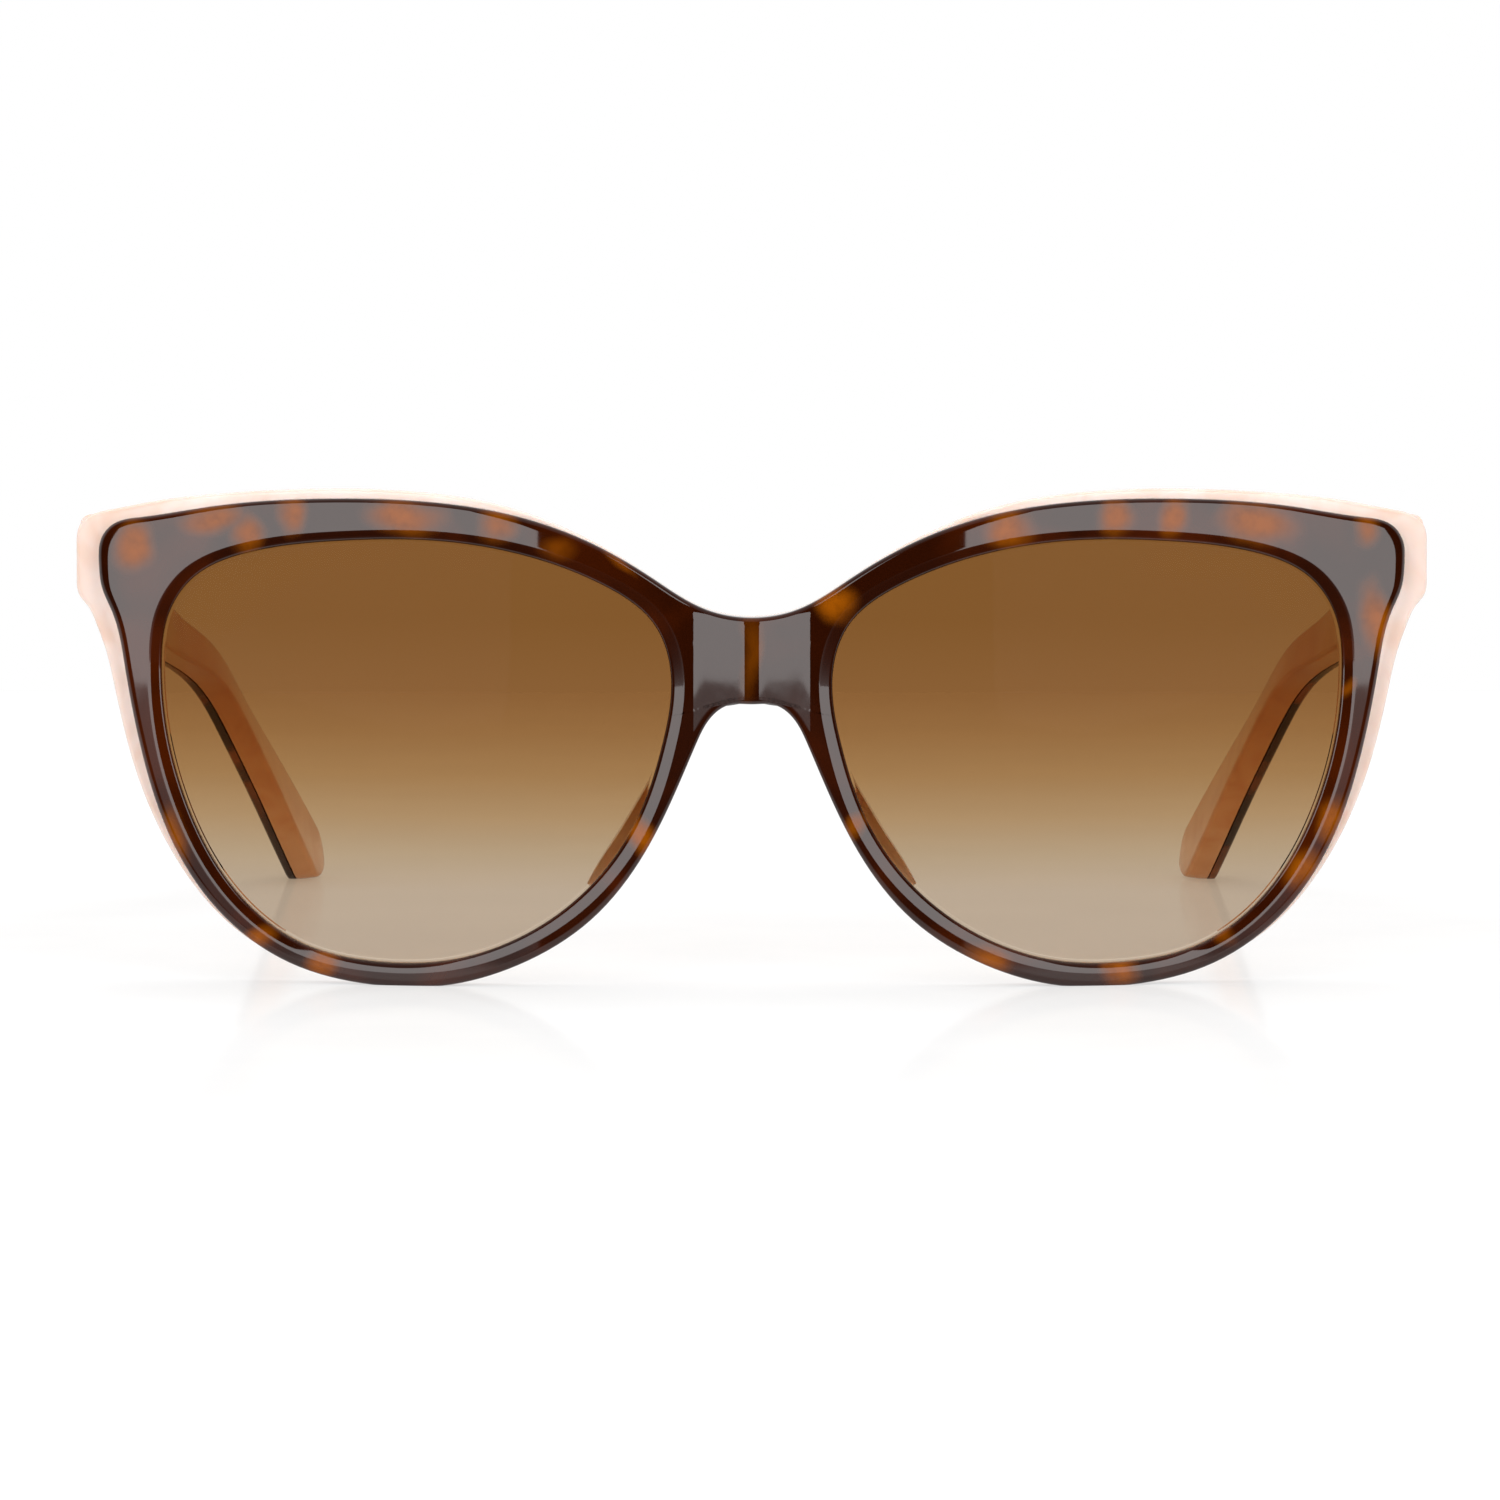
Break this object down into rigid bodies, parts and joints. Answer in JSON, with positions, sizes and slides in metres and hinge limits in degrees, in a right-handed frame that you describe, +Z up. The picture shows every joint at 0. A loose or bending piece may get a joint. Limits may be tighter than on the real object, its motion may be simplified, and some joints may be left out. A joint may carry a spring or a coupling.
{
  "type": "sunglasses",
  "caption": "Cat eye sunglasses in two-layer laminated acetate with gradient lenses and two temples that fold inwards on barrel hinges.",
  "frame": {"origin": "on the surface the sunglasses stand on, at the middle of their bounding box", "axes": "+X to the wearer's left, -Y out of the lenses, +Y along the open temples, +Z up"},
  "size_m": [0.1456, 0.1418, 0.0529],
  "materials": {
    "tortoise_acetate": "polished dark havana acetate with amber patches",
    "peach_acetate": "polished pale peach acetate",
    "lens_gradient_brown": "brown tint, darker at the top, clear gloss",
    "hinge_metal": "satin nickel silver",
    "core_wire_metal": "drawn wire"
  },
  "bodies": {
    "front": {"front_tortoise_layer": "tortoise_acetate", "front_peach_layer": "peach_acetate", "lens_left": "lens_gradient_brown", "lens_right": "lens_gradient_brown", "nose_pad_left": "peach_acetate", "nose_pad_right": "peach_acetate", "hinge_front_leaf_left": "hinge_metal", "hinge_front_leaf_right": "hinge_metal", "hinge_screw_left": "hinge_metal", "hinge_screw_right": "hinge_metal"},
    "temple_left": {"temple_tortoise_layer_left": "tortoise_acetate", "temple_peach_layer_left": "peach_acetate", "temple_core_wire_left": "core_wire_metal", "hinge_temple_leaf_left": "hinge_metal"},
    "temple_right": {"temple_tortoise_layer_right": "tortoise_acetate", "temple_peach_layer_right": "peach_acetate", "temple_core_wire_right": "core_wire_metal", "hinge_temple_leaf_right": "hinge_metal"}
  },
  "joints": [
    {"name": "temple_fold_left", "type": "hinge", "parent": "front", "child": "temple_left", "pos_m": [0.0665, -0.0526, 0.0453], "axis": [0, 0, 1], "range_deg": [0, 86]},
    {"name": "temple_fold_right", "type": "hinge", "parent": "front", "child": "temple_right", "pos_m": [-0.0665, -0.0526, 0.0453], "axis": [0, 0, -1], "range_deg": [0, 81]}
  ]
}
